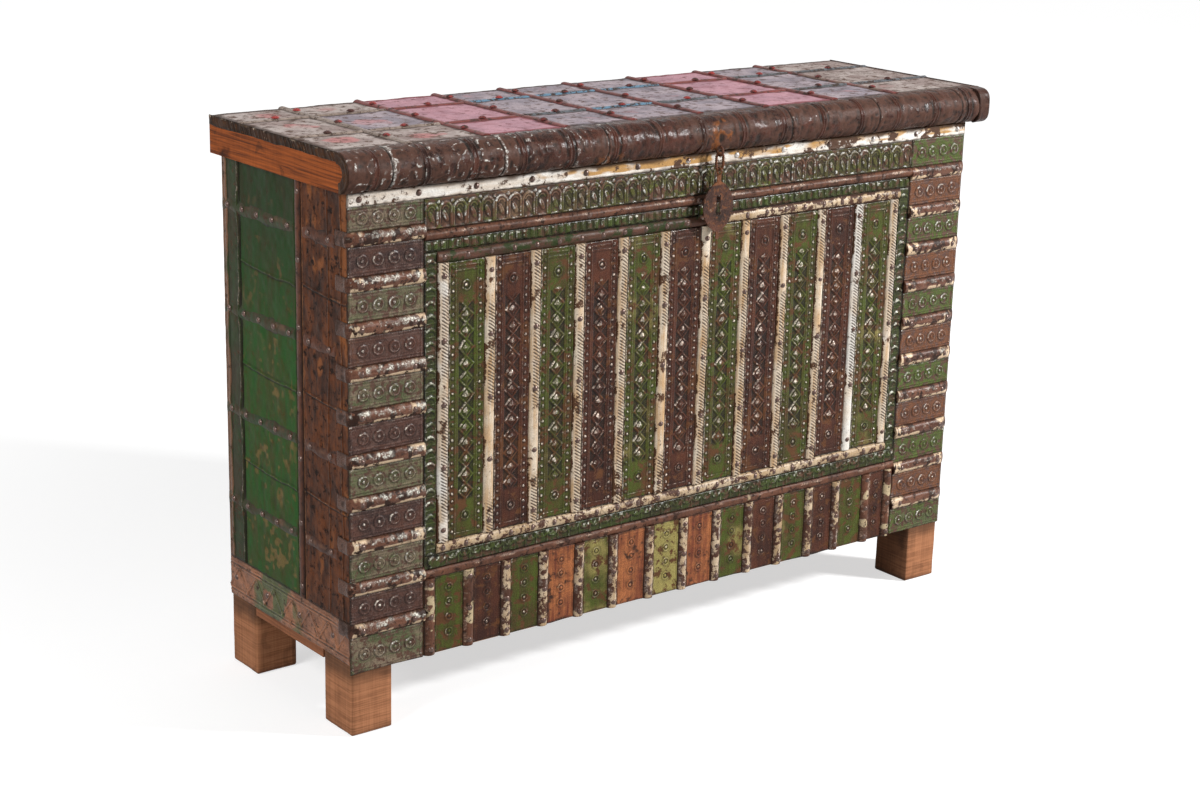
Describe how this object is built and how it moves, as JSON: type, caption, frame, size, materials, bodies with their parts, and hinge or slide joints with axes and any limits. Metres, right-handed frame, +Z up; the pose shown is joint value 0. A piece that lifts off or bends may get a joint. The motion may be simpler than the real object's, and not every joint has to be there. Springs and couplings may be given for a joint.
{
  "type": "damchiya chest",
  "caption": "Low timber chest on four post feet, clad in embossed painted sheet metal with half-round bars, a back-hinged lid with a rolled front edge and a hanging hasp.",
  "frame": {"origin": "centre of the footprint of the whole chest, on the floor", "axes": "+X along the length, to the right seen from the front; the front faces -Y; +Z up"},
  "size_m": [1.452, 0.4658, 1.0103],
  "materials": {
    "foot_wood": "matt",
    "box_wood": "matt",
    "lid_wood": "matt",
    "green_sheet": "worn",
    "dark_green_sheet": "worn",
    "side_green_sheet": "worn",
    "brown_sheet": "worn",
    "orange_sheet": "worn",
    "cream_sheet": "worn",
    "rust_bar": "worn",
    "rust_sheet": "worn",
    "roll_metal": "satin",
    "grey_sheet": "worn",
    "red_sheet": "worn",
    "hasp_iron": "rusty",
    "nail_iron": "worn"
  },
  "bodies": {
    "chest": {"corner_post_front_left": "foot_wood", "corner_post_front_right": "foot_wood", "corner_post_back_left": "foot_wood", "corner_post_back_right": "foot_wood", "front_rails": "box_wood", "back_rails": "box_wood", "left_rails": "box_wood", "right_rails": "box_wood", "front_planks": "box_wood", "back_planks": "box_wood", "left_planks": "box_wood", "right_planks": "box_wood", "floor_battens": "box_wood", "floor_planks": "box_wood", "column_green_panels": "green_sheet", "column_brown_panels": "brown_sheet", "column_bars": "rust_bar", "rim_band": "cream_sheet", "arch_band": "dark_green_sheet", "upper_round_bar": "rust_bar", "reed_band": "dark_green_sheet", "upper_nailed_bar": "cream_sheet", "cream_strips": "cream_sheet", "green_stripes": "green_sheet", "brown_stripes": "brown_sheet", "stripe_borders": "dark_green_sheet", "lower_nailed_bar": "cream_sheet", "scallop_band": "dark_green_sheet", "ledge_moulding": "rust_bar", "lower_bars": "rust_bar", "lower_green_panels": "green_sheet", "lower_brown_panels": "brown_sheet", "lower_orange_panels": "orange_sheet", "side_green_sheets": "side_green_sheet", "side_corner_sheets": "rust_sheet", "side_back_edgings": "dark_green_sheet", "side_base_sheets": "brown_sheet", "side_flat_bars": "rust_bar", "side_straps": "rust_bar", "hinge_body_leaves": "hasp_iron", "hinge_pins": "hasp_iron", "hinge_nails": "nail_iron", "front_nails": "nail_iron", "side_nails": "nail_iron"},
    "lid": {"lid_front_plank": "lid_wood", "lid_planks": "lid_wood", "lid_battens": "box_wood", "lid_roll_sheath": "roll_metal", "lid_roll_bands": "roll_metal", "lid_left_edge": "roll_metal", "lid_right_cap": "roll_metal", "lid_grey_sheets": "grey_sheet", "lid_red_sheets": "red_sheet", "lid_cross_straps": "red_sheet", "lid_long_straps": "grey_sheet", "hinge_lid_leaves": "hasp_iron", "hasp_staple": "hasp_iron", "lid_nails": "nail_iron"},
    "hasp_link": {"hasp_link": "hasp_iron"},
    "hasp_plate": {"hasp_plate": "hasp_iron"}
  },
  "joints": [
    {"name": "lid_hinge", "type": "hinge", "parent": "chest", "child": "lid", "pos_m": [0, 0.22778, 0.93725], "axis": [-1, 0, 0], "range_deg": [0, 100]},
    {"name": "hasp_link_swing", "type": "hinge", "parent": "lid", "child": "hasp_link", "pos_m": [0.046, -0.22303, 0.9363], "axis": [-1, 0, 0], "range_deg": [-1, 100]},
    {"name": "hasp_plate_swing", "type": "hinge", "parent": "hasp_link", "child": "hasp_plate", "pos_m": [0.046, -0.22303, 0.9063], "axis": [-1, 0, 0], "range_deg": [-3, 90]}
  ]
}
